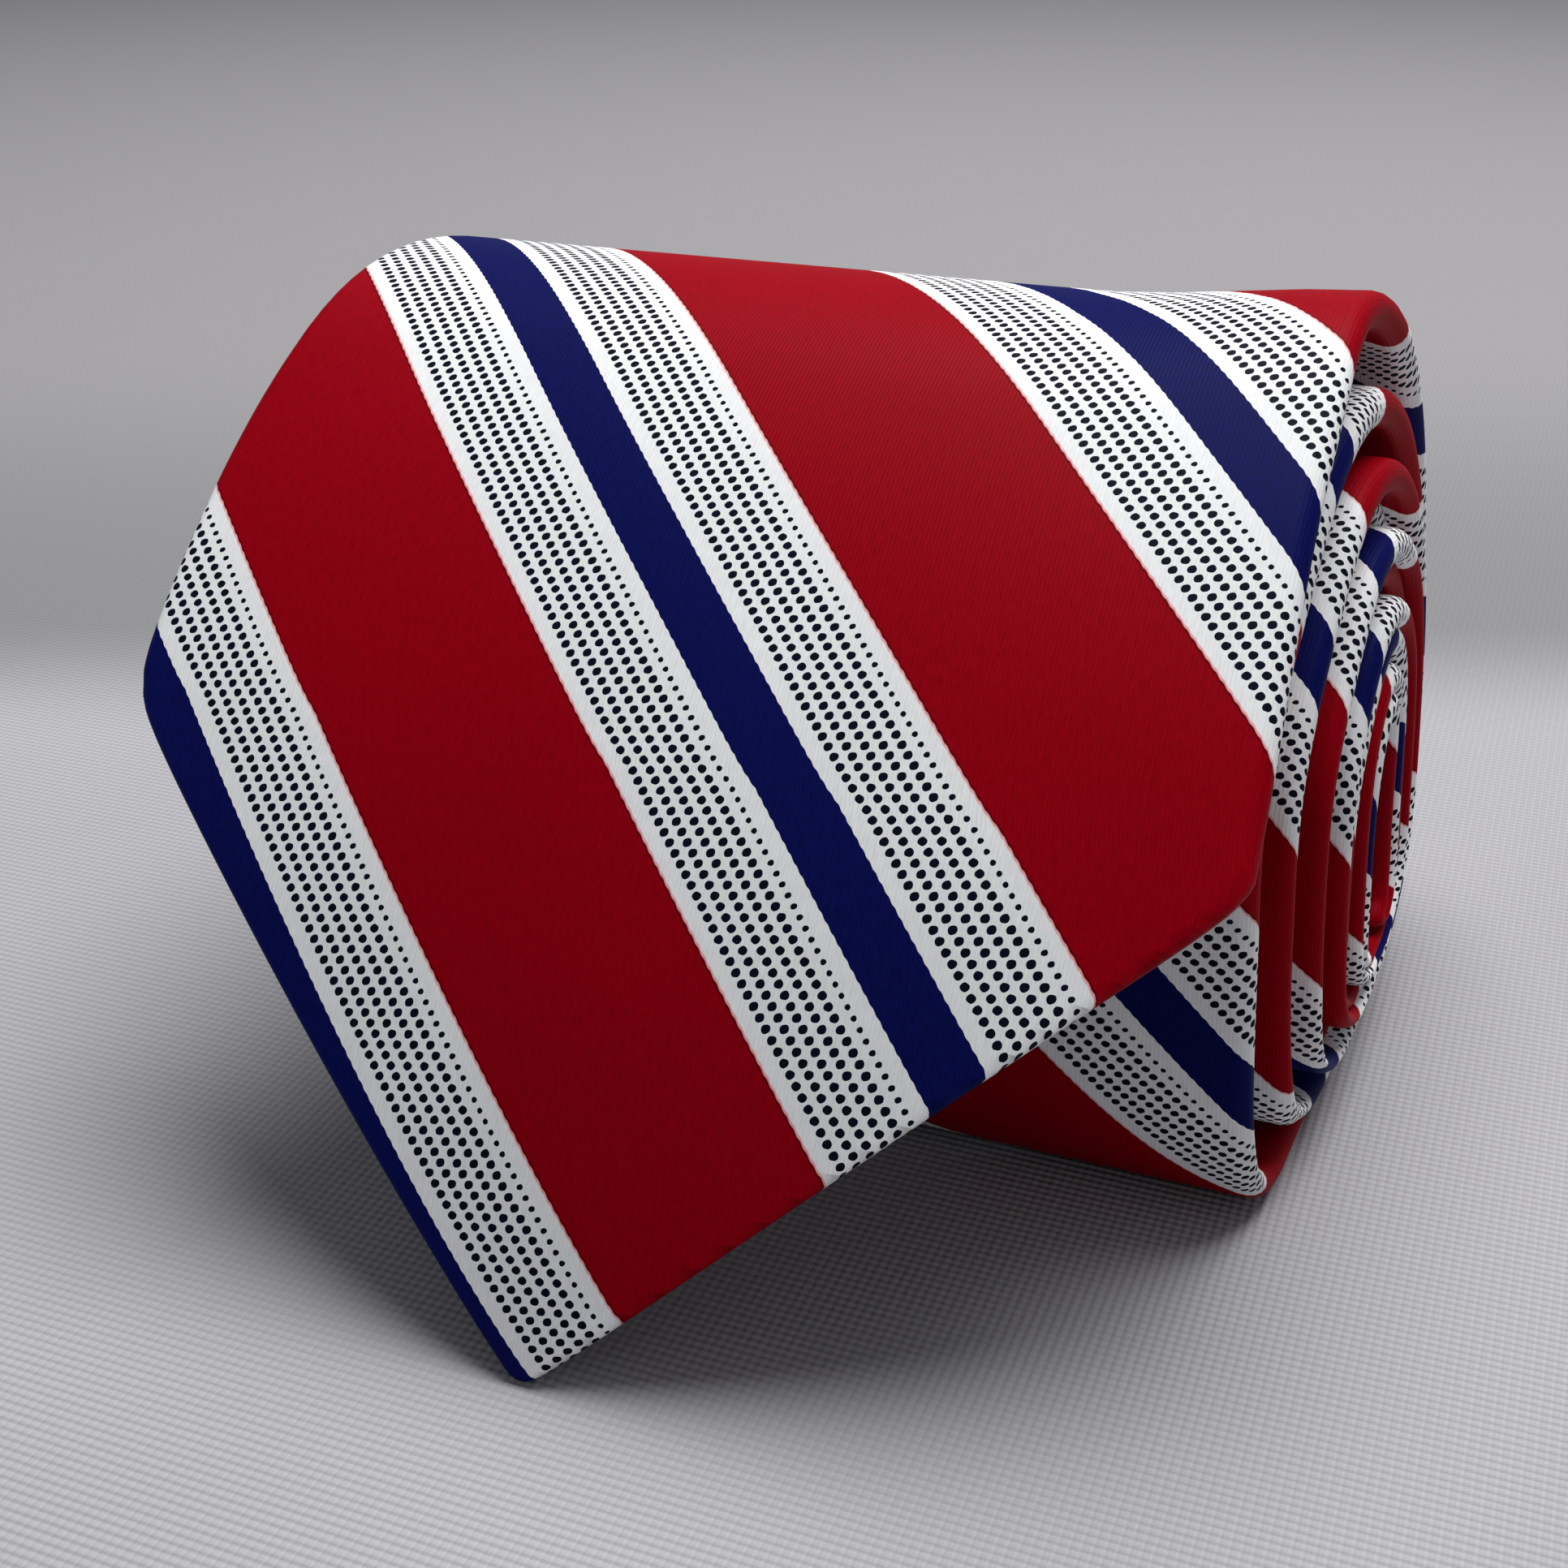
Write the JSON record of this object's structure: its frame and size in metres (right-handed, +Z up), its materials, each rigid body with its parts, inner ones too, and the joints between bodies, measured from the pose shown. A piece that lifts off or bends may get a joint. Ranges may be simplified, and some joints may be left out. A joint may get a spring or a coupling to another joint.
{
  "type": "necktie",
  "caption": "Striped woven silk necktie, folded in half and rolled up, with its wide pointed end leaning out in front.",
  "frame": {"origin": "under the middle of the roll, on the flat that it stands on", "axes": "+Z up, +X along the roll and across the tie, towards the end where the turns line up, +Y from the leaning wide end towards the back of the roll"},
  "size_m": [0.0967, 0.1019, 0.0645],
  "materials": {
    "silk": "satin, striped",
    "interlining": "brushed wool",
    "lining": "plain satin",
    "thread": "matt",
    "label": "woven, blank"
  },
  "bodies": {
    "roll": {"blade_silk": "silk", "neck_silk": "silk", "tail_silk": "silk", "keeper_loop": "silk", "interlining": "interlining", "blade_tipping": "lining", "tail_tipping": "lining", "slip_stitch": "thread", "blade_bar_tack": "thread", "tail_bar_tack": "thread", "keeper_stitches_left": "thread", "keeper_stitches_right": "thread", "label_stitches_left": "thread", "label_stitches_right": "thread", "care_label": "label"},
    "flap": {"flap_silk": "silk", "flap_interlining": "interlining", "flap_tipping": "lining"}
  },
  "joints": [
    {"name": "flap_lift", "type": "hinge", "parent": "roll", "child": "flap", "pos_m": [0, -0.01969, 0.05887], "axis": [-1, 0, 0], "range_deg": [0, 60]}
  ]
}
